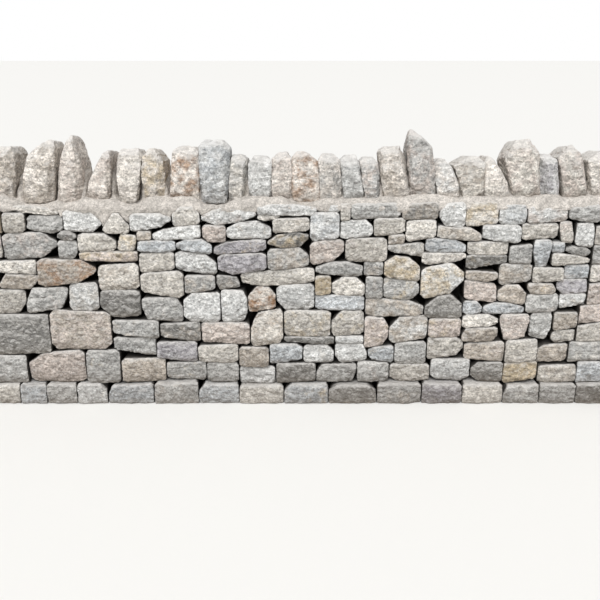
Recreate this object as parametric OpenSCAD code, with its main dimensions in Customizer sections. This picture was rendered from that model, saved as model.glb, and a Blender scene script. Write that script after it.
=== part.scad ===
// Dry stone wall with a mortar bed and upright cope stones.
// Units are millimetres. The wall runs along X, its front face looks towards -Y, and Z is up.
// The origin is on the ground under the middle of the wall.
// Two battered faces of coursed rubble stand on footings with packed hearting between them.
// Every stone rests on the stones laid below it, and both ends are built as squared wall heads.

/* [Wall] */
// Length of the stretch of wall above its footing
wall_length = 3600; // [3400:10:3800]
// Height of the stonework under the mortar bed, at its usual level
body_height = 960; // [900:5:1020]
// Thickness of the wall at the ground, above its footing
base_width = 560; // [520:5:620]
// Thickness of the wall at the top of the stonework
top_width = 380; // [360:5:420]
// Distance by which the footing stones stand proud of the faces and the ends
footing_step = 22; // [10:1:40]

/* [Stones] */
// Depth of a face stone into the wall
stone_depth = 150; // [120:5:170]
// Width of an upright joint between two stones of a course
side_joint = 5; // [3:0.5:10]
// Size of the broken corners, as a share of their usual size
corner_wear = 1; // [0.5:0.05:1.1]
// Width of the worn edge round a stone's outer face
arris = 5; // [4:1:12]
// Furthest that a stone's face lies behind the line of the wall
recess = 14; // [4:1:20]
// Steepest lean of a stone's face away from the line of the wall
face_lean = 0.06; // [0:0.01:0.08]
// Share of a stone's outline that is left at its tail
tail_share = 0.95; // [0.85:0.05:1]

/* [Mortar bed] */
// Height of the flat that carries the cope stones, above the usual level of the stonework
bed_rise = 32; // [28:1:60]
// Fall of the haunch from the flat to the edge of the bed
haunch_fall = 32; // [15:1:45]
// Distance of the bed's edge behind the line of the wall
bed_inset = 18; // [5:1:25]
// Distance from the edge of the bed to the flat
haunch_width = 30; // [15:1:45]

/* [Cope stones] */
// Depth of a cope stone through the wall
cope_depth = 260; // [220:5:300]
// Distance by which a cope stone's flanks bulge between its foot and its shoulders
cope_bulge = 4; // [0:1:5]
// Depth of the slope at a cope stone's front and back
cope_slope = 34; // [20:1:60]
// Share of a cope stone's width that is left at its front and back
cope_narrowing = 0.93; // [0.8:0.01:0.97]
// Share of a cope stone's height that is left at its front and back
cope_drop = 0.84; // [0.75:0.01:0.96]
// Share of a cope stone's size that is left towards its back
cope_tail = 0.86; // [0.8:0.01:1]

/* [Hidden] */

// Gap left where one piece is seated on another
seat = 0.3;
// Length and height of the listed stonework, in centimetres
listed_length = 360;
listed_height = 96;
// Millimetres in a listed centimetre of a cope stone's height
cm = 10;
// Steepest bed that a stone is laid on
steepest_bed = 0.16;
// Shares of a stone's bed and of its upright end that a worn, a cut, a slanting and a peaked corner lose
worn = [0.1, 0.13];
cut = [0.3, 0.42];
slant = [0.2, 0.74];
peak = [0.4, 0.76];
// Least and largest size of a broken corner, as a share of its usual size
corner_spread = [0.75, 1.15];
// Corners of a squared stone, which lose nothing
square_cuts = [[0, 0], [0, 0], [0, 0], [0, 0]];
// Share of a bed and of an upright end that is always left
least_flat = 0.1;
// Share of the stones without a listed form that are only worn
worn_stones = 0.4;
// Size of the broken corners of stones without a listed form, as a share of the size of the others
drawn_wear = 0.7;
// Largest share of the way to a stone's middle that its worn edge takes
worn_share = 0.45;
// Seeds of random numbers kept for one stone, for one course and for one side of the wall
stone_seeds = 3;
course_seeds = 90;
side_seeds = 1350;
// Forms of stones by their corners, anticlockwise from the lower left one
forms = [
    [worn, worn, worn, worn],
    [cut, cut, cut, cut],
    [worn, cut, cut, worn],
    [cut, worn, worn, cut],
    [slant, slant, worn, worn],
    [worn, worn, cut, worn],
    [worn, worn, worn, cut],
    [worn, cut, worn, worn],
    [cut, worn, worn, worn],
    [worn, slant, worn, slant],
    [slant, worn, slant, worn],
    [worn, worn, cut, cut],
    [cut, cut, worn, worn],
    [worn, worn, peak, peak]
];
// Forms of the stones without a listed one
drawn_forms = [0, 2, 3, 5, 6, 7, 8, 9, 10, 11, 12];
// Courses in each lift of the faces, by their first and last number
lifts = [[1, 2], [3, 4], [5, 6], [7, 8], [9, 11]];

half_length = wall_length / 2;
batter = (base_width - top_width) / 2 / body_height;
bed_level = body_height + bed_rise;
stretch = wall_length / listed_length;
rise = body_height / listed_height;

// Stones of each course from left to right, in centimetres. Each has the place of its left joint from
// the middle of the wall, the height of its upper bed at its left and at its right, and, where it has
// a form of its own, the number of that form. A height of 0 leaves the place open, where a taller
// stone from the course below already stands.
courses = [
    [[-180, 10, 10], [-152, 9.5, 10], [-138, 10, 9.5], [-125, 10, 10], [-110, 10, 10], [-95, 9.5, 10],
     [-72, 10, 11], [-50, 10, 10], [-30, 9, 9.5], [-8, 10, 10], [14, 9.5, 9.5], [38, 10, 10],
     [60, 10.5, 10], [80, 10, 10], [100, 9.5, 10], [118, 10, 10], [136, 10, 10.5], [156, 10.5, 10.5]],
    [[-180, 25, 25], [-158, 24.5, 24, 7], [-134, 24.5, 27.5, 6], [-105, 27, 27, 0], [-88, 22, 22.5],
     [-66, 20, 20.5], [-46, 20.5, 20, 0], [-30, 18, 18], [-12, 20, 20], [8, 19, 20], [28, 21, 20],
     [44, 19, 19], [64, 22, 22], [84, 20, 20.5], [100, 20, 21], [117, 19, 19.5], [136, 21, 21],
     [150, 21, 21]],
    [[-180, 35, 35], [-150, 45, 45, 0], [-121, 47.5, 46, 0], [-91, 33, 33], [-70, 31, 31], [-50, 29, 30, 0],
     [-30, 28.5, 28.5, 0], [-15, 30, 30], [1.5, 29, 29.5, 5], [17, 30, 30], [33, 28, 29], [46, 30.5, 31, 0],
     [62, 33, 33], [80, 30, 31], [100, 32, 32.5], [116, 29, 30], [131, 31, 32], [157, 32, 32]],
    [[-180, 45, 45], [-158, 45, 45], [-150, 0, 0], [-91, 42, 42], [-68, 40, 41], [-48, 41, 41],
     [-24, 45.5, 48, 6], [-8, 33.5, 33.5, 0], [17, 34, 34], [31, 43.5, 43], [43, 43, 44.5, 6],
     [62, 43, 43], [78, 38, 38.5], [96, 45, 45, 4], [111, 45, 46, 7], [122, 37, 37], [134, 39, 42],
     [149, 42, 42]],
    [[-180, 56, 56], [-147, 57, 57, 7], [-131, 58, 58.5, 9], [-110.5, 60, 60.5, 0], [-96, 56.5, 57, 8],
     [-76, 53, 53.5], [-56, 55, 56], [-38, 57, 57], [-25, 58.5, 58, 11], [-11.5, 0, 0], [-8, 47, 46.5, 0],
     [15, 47, 46.5, 6], [31, 53, 51, 5], [59.5, 53, 56, 11], [78, 44.5, 45, 5], [96, 0, 0],
     [122, 46, 46], [134, 49, 52], [157, 52, 52]],
    [[-180, 65, 65], [-158, 65, 65], [-143, 65, 64.5, 9], [-124, 72.5, 71, 2], [-96, 68.5, 70, 0],
     [-76, 65, 66.5, 0], [-55, 64, 64, 0], [-40, 64, 63], [-28.5, 0, 0], [-11.5, 59, 60, 8],
     [7, 54.5, 54, 0], [31, 63.5, 63], [39.5, 63, 60.5, 7], [57, 67.5, 71.5, 2], [78, 51.5, 51.5, 5],
     [87.5, 50.5, 50.5, 11], [108, 54.5, 55, 0], [124, 55, 55], [137, 60, 62], [150, 62, 62]],
    [[-180, 74, 74], [-150, 71, 71.5, 3], [-124, 0, 0], [-113.5, 80.5, 80.5, 7], [-104, 75, 75.8, 0],
     [-76, 74.5, 75.3, 0], [-59, 75.5, 74, 5], [-39, 0, 0], [-28.5, 65, 68, 8], [7, 64, 64, 0],
     [15, 63.5, 63.5, 11], [31, 0, 0], [39.5, 72.5, 70.5, 11], [57, 0, 0], [78, 62.5, 59.5, 0],
     [94, 59.5, 59.5, 11], [108, 60, 60], [122, 62, 62], [137, 69, 71], [157, 71, 71]],
    [[-180, 84, 84], [-159, 84, 84], [-139, 84, 84.8, 2], [-113.5, 85, 84.8, 1], [-104, 84, 84, 5],
     [-85.5, 84, 83, 9], [-76, 80.5, 80.8, 0], [-58, 81, 81.5, 11], [-41, 0, 0], [-39, 73.8, 75, 8],
     [-15.5, 76.5, 77.5, 5], [4.5, 0, 0], [7, 70.3, 71, 11], [30, 70.5, 70.5, 0], [39.5, 0, 0],
     [57, 75, 74.8, 7], [78, 66.5, 65.5, 7], [94, 69.5, 69.5, 0], [110, 68, 67.5], [125, 69, 69],
     [137, 78.5, 79], [149, 79, 79]],
    [[-180, 95, 95], [-149, 94, 94], [-138, 93.5, 93.5, 0], [-127, 92, 92, 7], [-110, 94.5, 93.5, 2],
     [-92, 93.5, 93.5, 13], [-79, 0, 0], [-76, 85, 85, 0], [-69, 85, 88.5, 6], [-46, 0, 0],
     [-41, 79.5, 81.5, 6], [-15.5, 82, 86, 1], [4.5, 80, 81.3, 7], [21, 81.5, 82, 0],
     [41, 78.5, 79.5, 0], [58.5, 81.8, 81, 5], [78, 74, 73.5, 0], [98, 78, 79], [109, 81, 81, 4],
     [118, 75, 72.5, 5], [137, 87.5, 88], [156, 88, 88]],
    [[-180, 0, 0], [-135, 97, 95.5, 1], [-111.5, 0, 0], [-79, 93, 93.2, 2], [-59.5, 96, 96.5, 11],
     [-46, 87.5, 87.5, 8], [-34.5, 88.5, 90, 11], [-13, 90.5, 91.3, 0], [4.5, 93.5, 93.7, 0],
     [18.5, 89.5, 91, 5], [34, 0, 0], [41, 83.5, 83.5, 0], [49, 89.8, 90.6, 0], [63.5, 0, 0],
     [78, 80, 80, 0], [98, 0, 0], [118, 79.5, 79.5], [124.5, 77.8, 77.5, 1], [137, 0, 0]],
    [[-180, 0, 0], [-46, 95.3, 95.5, 1], [-20, 93.3, 93, 1], [-9, 0, 0], [18.5, 97.5, 97.5, 0],
     [23.5, 0, 0], [34, 91, 91, 0], [49, 0, 0], [63.5, 87.5, 86, 5], [84.5, 87.8, 87.8, 0],
     [103, 88.3, 88.5, 0], [120.5, 89.3, 89, 10], [128, 88.5, 89, 0], [137, 0, 0]],
    [[-180, 0, 0], [-20, 97.3, 97, 11], [8, 97, 97, 6], [18.5, 0, 0], [23.5, 97.8, 97.8, 0],
     [47, 97.5, 98.5, 6], [64, 98, 98.5, 3], [76.5, 98.3, 98.3, 0], [92, 97, 97, 0],
     [105, 96.5, 95, 0], [124, 95.5, 97.5, 0], [139, 96, 96], [149, 96, 96]]
];

// Cope stones from left to right, in centimetres. Each has its foot's left and right ends, its
// shoulders' left and right ends, its crown's left and right ends, and the heights of the left
// shoulder, the crown and the right shoulder above the mortar bed.
copes = [
    [-178, -164, -177, -164, -171, -167, 19, 22.5, 19],
    [-163, -149.5, -161, -148.5, -154, -151, 18, 21, 18],
    [-148, -134, -143, -131.5, -138, -133, 21, 23.5, 20],
    [-130.5, -116, -125, -112.5, -116.5, -113.5, 19, 26.5, 23],
    [-113.5, -102, -109.5, -102, -105.5, -104, 19, 28.5, 18.5],
    [-100.5, -90, -94, -87.5, -90, -88.5, 15, 21.5, 17],
    [-83.5, -76.5, -84, -73, -82, -74.5, 18, 22.5, 18.5],
    [-72, -64, -72, -63.5, -69, -67, 19, 22.5, 16.5],
    [-60.5, -47.5, -58, -47, -56, -49, 21, 23.5, 21],
    [-45.5, -34.5, -46, -32.5, -43.5, -35.5, 23.5, 26.5, 23],
    [-32.5, -25.5, -31.5, -24.5, -30.5, -27, 18, 19.5, 17.5],
    [-23, -13.5, -23.5, -13.5, -20.5, -16, 16.5, 19, 16.5],
    [-12.5, -4.5, -12.5, -4.5, -9.5, -6.5, 17.5, 21, 18],
    [-3, 9, -3.5, 8, -1, 2.5, 18.5, 21, 16.5],
    [10, 19, 9, 18, 10.5, 15, 17.5, 20, 17.5],
    [21, 29.5, 19, 27, 21, 25, 17, 19.5, 16],
    [31, 38, 28, 35.5, 29.5, 33.5, 16.5, 18.5, 16.5],
    [39.5, 51, 36.5, 48.5, 39, 45.5, 20.5, 23.5, 18],
    [52.5, 63, 49.5, 60, 50.5, 52, 22, 31.5, 23],
    [64.5, 75.5, 62.5, 70, 65, 66.5, 15, 18, 14],
    [77, 85, 71.5, 84.5, 78.5, 82, 14.5, 19, 16],
    [86.5, 99, 86, 93, 86.5, 88, 17, 19, 12.5],
    [100.5, 112, 94.5, 110, 99, 104.5, 18, 26.5, 19.5],
    [113, 120.5, 111.5, 118, 113, 116, 18, 20, 17],
    [124, 135.5, 119.5, 131.5, 124, 126, 18, 24, 16],
    [136.5, 149, 133, 148, 139, 142, 17, 21.5, 19],
    [150.5, 163, 150, 163, 155, 158, 16, 19.5, 17],
    [164.5, 178, 164.5, 178, 169, 172, 18, 22, 18]
];

// Colours of the cope stones from left to right
cope_tints = [
    "#d8cfc0", "#b9b3ab", "#d9cdbb", "#c9bba8", "#b7aaa6", "#d3c1b2", "#dcd6cc", "#cfc7b4", "#c7b4a4",
    "#a9a8ab", "#bdb0a7", "#c0bfbd", "#c8b9ae", "#c9a98b", "#bfbcb9", "#aba8a5", "#b9aea9", "#d0bfa7",
    "#a69c9d", "#d2c9b9", "#bfa996", "#d6ccbb", "#c5b3a4", "#b5a8a6", "#bfb1a6", "#cbbfae", "#b0adaa",
    "#c9bdb0"
];

// Height of a bed segment at a place along the wall
function level(bed, x) = bed[2] + (bed[3] - bed[2]) * (x - bed[0]) / (bed[1] - bed[0]);

// Segments of the beds between two places along the wall
function beds_between(beds, left, right) = [
    for (bed = beds)
        let (low = max(bed[0], left), high = min(bed[1], right))
        if (high - low > seat) [low, high, level(bed, low), level(bed, high)]
];

// Height of the beds at a place along the wall
function bed_at(beds, x) =
    max([for (bed = beds) if (bed[0] - seat < x && x < bed[1] + seat) level(bed, x)]);

// Left and right heights of the line on which a stone comes to rest. Its broken lower corners run along
// the bed from its ends, and rise by the falls. At the wall's ends the line is level.
function rest_line(beds, left, right, runs, falls) =
    let (
        flat_left = left + runs[0],
        flat_right = right - runs[1],
        climb = bed_at(beds, flat_right) - bed_at(beds, flat_left),
        steepest = ends_left([left]) || ends_right([left, right]) ? 0 : steepest_bed,
        slope = max(-steepest, min(steepest, climb / (flat_right - flat_left))),
        lift = max([
            for (bed = beds, x = [bed[0], flat_left, flat_right, bed[1]])
                let (
                    from_left = runs[0] > 0 ? max(0, flat_left - x) / runs[0] : 0,
                    from_right = runs[1] > 0 ? max(0, x - flat_right) / runs[1] : 0
                )
                bed_at(beds, x) - slope * (x - left) - falls[0] * from_left - falls[1] * from_right
        ])
    )
    [lift, lift + slope * (right - left)];

// A course with its places and heights in millimetres, stretched to the wall's length and height
function set_out(course) = [
    for (k = [0 : len(course) - 1])
        [
            course[k][0] * stretch,
            k == len(course) - 1 ? half_length : course[k + 1][0] * stretch,
            course[k][1] * rise,
            course[k][2] * rise,
            course[k][3]
        ]
];

// Whether a stone ends the wall, on its left or on its right
function ends_left(stone) = stone[0] < seat - half_length;
function ends_right(stone) = stone[1] > half_length - seat;
function is_quoin(stone) = ends_left(stone) || ends_right(stone);

// Length of a wall head, which is that of its longest quoin
head_length = max([
    for (course = courses, place = set_out(course))
        if (is_quoin(place) && place[2] > 0) place[1] - place[0]
]);

// Whether a stone reaches into a wall head, where the stones are squared
function is_squared(stone) =
    stone[0] < -half_length + head_length || stone[1] > half_length - head_length;

// Number that gives every stone its own shape
function seed_of(course, place, side) =
    side_seeds * side + course_seeds * course + stone_seeds * place;

// Corners of a form by a share of their usual size, each a little larger or smaller
function spread(form, share, seed) =
    let (sizes = rands(corner_spread[0], corner_spread[1], 8, seed) * share)
    [for (k = [0 : 3]) [form[k][0] * sizes[k], form[k][1] * sizes[k + 4]]];

// Share to which two cuts shrink so that they leave a flat between them
function fitted(first, second) = min(1, (1 - least_flat) / (first + second));

// Corners of a stone that don't cross along its beds or its upright ends
function cuts_of(place, seed) =
    let (
        chance = rands(0, 1, 1, seed)[0],
        drawn = ceil(max(0, chance - worn_stones) / (1 - worn_stones) * (len(drawn_forms) - 1)),
        cuts = is_undef(place[4])
            ? spread(forms[drawn_forms[drawn]], corner_wear * drawn_wear, seed + 1)
            : spread(forms[place[4]], corner_wear, seed + 1)
    )
    [
        for (k = [0 : 3])
            let (over_bed = cuts[k % 2 == 0 ? k + 1 : k - 1], over_end = cuts[3 - k])
            [
                cuts[k][0] * fitted(cuts[k][0], over_bed[0]),
                cuts[k][1] * fitted(cuts[k][1], over_end[1])
            ]
    ];

// Corners of a stone as seen from the front, anticlockwise from the lower left one. A broken corner has
// two points and a squared one has a single point. Footings lie flat on the ground and stand proud of
// the wall's ends. A first guess at a stone's height gives its broken corners, with which it is laid.
function corners_of(place, beds, course, seed) =
    let (
        is_footing = course == 0,
        gap = side_joint / 2,
        step = is_footing ? footing_step : 0,
        left = place[0] + (ends_left(place) ? -step : gap),
        right = place[1] - (ends_right(place) ? -step : gap),
        width = right - left,
        under = beds_between(beds, left, right),
        high = [level(place, left), level(place, right)],
        cuts = is_squared(place) ? square_cuts : cuts_of(place, seed),
        runs = [cuts[0][0] * width, cuts[1][0] * width],
        guess = is_footing ? [0, 0] : rest_line(under, left, right, runs, [0, 0]),
        falls = [cuts[0][1] * (high[0] - guess[0]), cuts[1][1] * (high[1] - guess[1])],
        rest = is_footing ? [0, 0] : rest_line(under, left, right, runs, falls) + [seat, seat],
        box = [[left, rest[0]], [right, rest[1]], [right, high[1]], [left, high[0]]]
    )
    [
        for (k = [0 : 3])
            let (
                bed_way = (k % 2 == 0 ? box[k + 1] : box[k - 1]) - box[k],
                end_way = k < 2 ? [0, falls[k]] : (box[3 - k] - box[k]) * cuts[k][1],
                on_bed = box[k] + bed_way * cuts[k][0],
                on_end = box[k] + end_way
            )
            is_squared(place) || is_footing && k < 2
                ? [box[k]]
                : k % 2 == 0 ? [on_end, on_bed] : [on_bed, on_end]
    ];

// Segments of a stone's upper edge from left to right, which are the bed for the next stones
function upper_edge(place, corners) =
    let (
        points = [for (k = [3, 2], n = [len(corners[k]) - 1 : -1 : 0]) corners[k][n]],
        last = len(points) - 1
    )
    [
        for (k = [0 : last - 1])
            [
                k == 0 ? place[0] : points[k][0],
                k == last - 1 ? place[1] : points[k + 1][0],
                points[k][1],
                points[k + 1][1]
            ]
    ];

// Beds left open by a course of one side of the wall, to which the next course is laid
function beds_over(course, beds, side) =
    let (places = set_out(courses[course]))
    [
        for (k = [0 : len(places) - 1])
            each places[k][2] > 0
                ? upper_edge(places[k], corners_of(places[k], beds, course, seed_of(course, k, side)))
                : beds_between(beds, places[k][0], places[k][1])
    ];

// Beds under every course of one side of the wall and over the last one
function beds_of(side) = [
    for (
        k = 0, line = [[-half_length, half_length, 0, 0]];
        k <= len(courses);
        line = k < len(courses) ? beds_over(k, line, side) : line,
        k = k + 1
    )
        line
];

// Stones of every course of one side of the wall, each as its place and its corners
function stones_of(side) =
    let (beds = beds_of(side))
    [
        for (course = [0 : len(courses) - 1])
            let (places = set_out(courses[course]))
            [
                for (k = [0 : len(places) - 1])
                    if (places[k][2] > 0)
                        [places[k], corners_of(places[k], beds[course], course, seed_of(course, k, side))]
            ]
    ];

laid = [for (side = [0, 1]) stones_of(side)];
top_beds = [for (side = [0, 1]) beds_of(side)[len(courses)]];
top_low = min([for (beds = top_beds, bed = beds) min(bed[2], bed[3])]);

// Outline that runs through the points of all corners
function outline(corners) = [for (corner = corners) each corner];

// Number of the corner that each point of an outline belongs to
function owners(corners) = [for (k = [0 : len(corners) - 1], point = corners[k]) k];

// Middle of an outline
function middle(points) = [for (p = points) 1] * points / len(points);

// Outline drawn in towards its middle by the worn edge
function worn_in(points) =
    let (centre = middle(points))
    [for (p = points) p + (centre - p) * min(worn_share, arris / norm(centre - p))];

// One point for each corner, drawn in towards the middle of them all
function tail(corners) =
    let (points = [for (corner = corners) middle(corner)], centre = middle(points))
    [for (p = points) centre + (p - centre) * tail_share];

// Ring of points that stand on the sloping face, a distance behind the line of the wall, and lean from it
function ring(points, behind, lean = [0, 0]) =
    let (centre = middle(points))
    [for (p = points) [p[0], -base_width / 2 + batter * p[1] + behind + lean * (p - centre), p[1]]];

// Ring of points on the middle plane of the wall, or a distance in front of it
function middle_ring(points, before) = [for (p = points) [p[0], -before, p[1]]];

// Faces that join the rings of one stone into a closed solid. The points of its last ring are the
// owners of the points of the other rings.
function ring_faces(owners, rings, first) =
    let (count = len(owners), last = first + (rings - 1) * count)
    [
        [for (k = [count - 1 : -1 : 0]) first + k],
        for (r = [0 : rings - 3], k = [0 : count - 1])
            let (row = first + r * count, next = (k + 1) % count)
            each [[row + k, row + next, row + count + next], [row + k, row + count + next, row + count + k]],
        for (k = [0 : count - 1])
            let (row = last - count, next = (k + 1) % count)
            each [
                [row + k, row + next, last + owners[next]],
                if (owners[k] != owners[next]) [row + k, last + owners[next], last + owners[k]]
            ],
        [for (k = [0 : max(owners)]) last + k]
    ];

// Separate stones, each given as the owners of its points and its rings from front to back
module ringed_stones(stones) {
    sizes = [for (stone = stones) len([for (points = stone[1]) each points])];
    firsts = [for (k = 0, first = 0; k < len(stones); first = first + sizes[k], k = k + 1) first];
    polyhedron(
        points = [for (stone = stones, points = stone[1]) each points],
        faces = [
            for (k = [0 : len(stones) - 1])
                each ring_faces(stones[k][0], len(stones[k][1]), firsts[k])
        ],
        convexity = 6
    );
}

// Distance of a stone's face behind the line of the wall. Footings and quoins stand level.
function set_back(place, course, chance) =
    course == 0 ? -footing_step : is_squared(place) ? 0 : recess * chance;

// Face stone: worn outer face, full outline, and its tail against the hearting
function face_stone(stone, course, seed) =
    let (
        shape = outline(stone[1]),
        chances = rands(-1, 1, 3, seed + 2),
        behind = set_back(stone[0], course, abs(chances[0])),
        lean = course == 0 || is_squared(stone[0]) ? [0, 0] : [chances[1], chances[2]] * face_lean
    )
    [
        owners(stone[1]),
        [ring(worn_in(shape), behind, lean), ring(shape, behind + arris, lean), ring(tail(stone[1]), stone_depth)]
    ];

// Quoin that covers the front half of the wall's end
function half_quoin(stone, course) =
    let (shape = outline(stone[1]), behind = set_back(stone[0], course, 0))
    [
        [for (k = [0 : len(shape) - 1]) k],
        [ring(worn_in(shape), behind), ring(shape, behind + arris), middle_ring(shape, side_joint / 2)]
    ];

// Quoin that ties both faces of the wall
function tie_quoin(stone, course) =
    let (
        shape = outline(stone[1]),
        behind = set_back(stone[0], course, 0),
        rings = [ring(worn_in(shape), behind), ring(shape, behind + arris)]
    )
    [
        [for (k = [0 : len(shape) - 1]) k],
        [
            rings[0],
            rings[1],
            [for (p = rings[1]) [p[0], -p[1], p[2]]],
            [for (p = rings[0]) [p[0], -p[1], p[2]]]
        ]
    ];

// Face stones of a run of courses on one side of the wall, without the quoins
module face_stones(first, last, side) {
    ringed_stones([
        for (course = [first : last], k = [0 : len(laid[side][course]) - 1])
            let (stone = laid[side][course][k])
            if (!is_quoin(stone[0])) face_stone(stone, course, seed_of(course, k, side))
    ]);
}

// Stones of one course that end the wall on the left or the right
function quoins(course, left_end) = [
    for (stone = laid[0][course])
        if (left_end ? ends_left(stone[0]) : ends_right(stone[0])) stone
];

// Ties through both faces take turns with pairs of quoins. The left end starts with a pair, and the
// right end with a tie.
function is_tie(place, left_end) = place % 2 == (left_end ? 1 : 0);

module wall_head(left_end) {
    numbers = [for (course = [0 : len(courses) - 1]) if (len(quoins(course, left_end)) > 0) course];
    pairs = [for (k = [0 : len(numbers) - 1]) if (!is_tie(k, left_end)) numbers[k]];
    ties = [for (k = [0 : len(numbers) - 1]) if (is_tie(k, left_end)) numbers[k]];
    ringed_stones([for (course = ties) tie_quoin(quoins(course, left_end)[0], course)]);
    for (side = [0, 1])
        mirror([0, side, 0])
            ringed_stones([for (course = pairs) half_quoin(quoins(course, left_end)[0], course)]);
}

// Points along the top of the stonework, a distance above it
function top_line(beds, above) = [for (bed = beds) each [[bed[0], bed[2] + above], [bed[1], bed[3] + above]]];

// Filling between the two faces, in the middle part of the wall and from one height to another
module core(low, high) {
    reach = half_length - head_length - seat;
    half_foot = base_width / 2 - stone_depth - seat;
    half_low = half_foot - batter * low;
    half_high = half_foot - batter * high;
    rotate([90, 0, 90])
        linear_extrude(2 * reach, center = true)
            polygon([[-half_low, low], [half_low, low], [half_high, high], [-half_high, high]]);
}

// Packed fill between the two faces, up to the lowest of the top beds
module hearting() {
    color("#8f8a84") core(0, top_low);
}

// Mortar bed that fills the tops of both faces and carries the cope stones
module mortar_bed() {
    edge = base_width / 2 - batter * body_height - bed_inset;
    shoulder = bed_level - haunch_fall;
    color("#cdc4bc")
        intersection() {
            union() {
                for (side = [0, 1])
                    mirror([0, side, 0])
                        rotate([90, 0, 0])
                            linear_extrude(base_width / 2)
                                polygon(concat(
                                    top_line(top_beds[side], seat),
                                    [[half_length, bed_level], [-half_length, bed_level]]
                                ));
                core(top_low + seat, bed_level);
            }
            rotate([90, 0, 90])
                linear_extrude(wall_length, center = true)
                    polygon([
                        [-edge, top_low],
                        [edge, top_low],
                        [edge, shoulder],
                        [edge - haunch_width, bed_level],
                        [haunch_width - edge, bed_level],
                        [-edge, shoulder]
                    ]);
        }
}

// Outline of a cope stone above its foot, anticlockwise from its lower left corner
function cope_outline(cope) =
    let (
        low_left = [cope[0] * stretch, 0],
        low_right = [cope[1] * stretch, 0],
        high_left = [cope[2] * stretch, cope[6] * cm],
        high_right = [cope[3] * stretch, cope[8] * cm]
    )
    [
        low_left,
        low_right,
        (low_right + high_right) / 2 + [cope_bulge, 0],
        high_right,
        [cope[5] * stretch, cope[7] * cm],
        [cope[4] * stretch, cope[7] * cm],
        high_left,
        (low_left + high_left) / 2 - [cope_bulge, 0]
    ];

// Outline drawn in towards the middle of its foot, by the shares left of its width and height
function tapered(points, width, height) =
    let (centre = (points[0] + points[1]) / 2)
    [for (p = points) [centre[0] + (p[0] - centre[0]) * width, p[1] * height]];

// Ring of a cope stone's outline at a distance through the wall
function cope_ring(points, through) = [
    for (p = points) [p[0], through, p[1] + bed_level + seat]
];

// Upright stone set on edge across the wall
module cope_stone(number) {
    shape = cope_outline(copes[number - 1]);
    back = tapered(shape, cope_tail, cope_tail);
    half = cope_depth / 2;
    color(cope_tints[number - 1])
        ringed_stones([[
            [for (k = [0 : len(shape) - 1]) k],
            [
                cope_ring(tapered(shape, cope_narrowing, cope_drop), -half),
                cope_ring(shape, cope_slope - half),
                cope_ring(back, half - cope_slope),
                cope_ring(tapered(back, cope_narrowing, cope_drop), half)
            ]
        ]]);
}

module left_head() {
    color("#b3aca2") wall_head(true);
}

module right_head() {
    color("#b3aca2") wall_head(false);
}

module front_footings() {
    color("#8d8983") face_stones(0, 0, 0);
}

module front_lift(number) {
    color("#b8b0a5") face_stones(lifts[number - 1][0], lifts[number - 1][1], 0);
}

module front_levelling_course() {
    color("#c4beb5") face_stones(lifts[4][0], lifts[4][1], 0);
}

module back_footings() {
    color("#8d8983") mirror([0, 1, 0]) face_stones(0, 0, 1);
}

module back_lift(number) {
    color("#b8b0a5") mirror([0, 1, 0]) face_stones(lifts[number - 1][0], lifts[number - 1][1], 1);
}

module back_levelling_course() {
    color("#c4beb5") mirror([0, 1, 0]) face_stones(lifts[4][0], lifts[4][1], 1);
}

hearting();
left_head();
right_head();
front_footings();
for (number = [1 : 4])
    front_lift(number);
front_levelling_course();
back_footings();
for (number = [1 : 4])
    back_lift(number);
back_levelling_course();
mortar_bed();
for (number = [1 : len(copes)])
    cope_stone(number);
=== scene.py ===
import math
import random

import bpy
import numpy as np
from bpy.props import FloatProperty, FloatVectorProperty, IntProperty, PointerProperty
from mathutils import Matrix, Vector


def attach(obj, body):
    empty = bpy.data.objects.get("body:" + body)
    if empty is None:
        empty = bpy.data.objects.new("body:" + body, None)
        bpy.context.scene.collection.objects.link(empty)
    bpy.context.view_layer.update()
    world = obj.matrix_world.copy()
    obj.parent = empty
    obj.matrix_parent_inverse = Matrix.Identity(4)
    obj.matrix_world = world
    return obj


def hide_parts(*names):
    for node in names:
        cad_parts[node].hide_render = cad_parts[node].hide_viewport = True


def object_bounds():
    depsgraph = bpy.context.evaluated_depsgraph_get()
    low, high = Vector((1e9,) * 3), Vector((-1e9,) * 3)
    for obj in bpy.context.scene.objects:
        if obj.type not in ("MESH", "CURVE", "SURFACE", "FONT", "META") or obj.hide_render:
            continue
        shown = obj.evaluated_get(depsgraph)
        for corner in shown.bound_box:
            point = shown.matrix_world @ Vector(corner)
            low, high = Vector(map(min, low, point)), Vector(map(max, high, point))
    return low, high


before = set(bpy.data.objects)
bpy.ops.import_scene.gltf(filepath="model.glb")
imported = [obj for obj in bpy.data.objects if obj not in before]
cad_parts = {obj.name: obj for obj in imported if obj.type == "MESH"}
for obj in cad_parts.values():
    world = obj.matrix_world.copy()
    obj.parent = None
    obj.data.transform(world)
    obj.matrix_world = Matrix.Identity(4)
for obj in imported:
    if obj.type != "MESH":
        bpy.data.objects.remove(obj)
CAD_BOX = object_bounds()

bl_info = {
    "name": "Dry stone wall",
    "version": (1, 0, 0),
    "blender": (4, 5, 0),
    "location": "View3D > Sidebar > Wall",
    "description": "Dresses a dry stone wall: rubble faces, wall heads, mortar bed and cope stones",
    "category": "Object",
}

MM = 0.001
CM = 0.01


def linear(code):
    """The linear colour of an sRGB hex value."""
    channels = [int(code[k : k + 2], 16) / 255 for k in (0, 2, 4)]
    return [c / 12.92 if c <= 0.04045 else ((c + 0.055) / 1.055) ** 2.4 for c in channels]


def colour(name, description, code):
    """A colour that the user can change, given as an sRGB hex value."""
    return FloatVectorProperty(
        name=name, description=description, subtype="COLOR", size=3, min=0, max=1, default=linear(code)
    )


def length(name, description, default):
    """A length in metres that the user can change."""
    return FloatProperty(name=name, description=description, default=default, unit="LENGTH", min=0)


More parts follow.
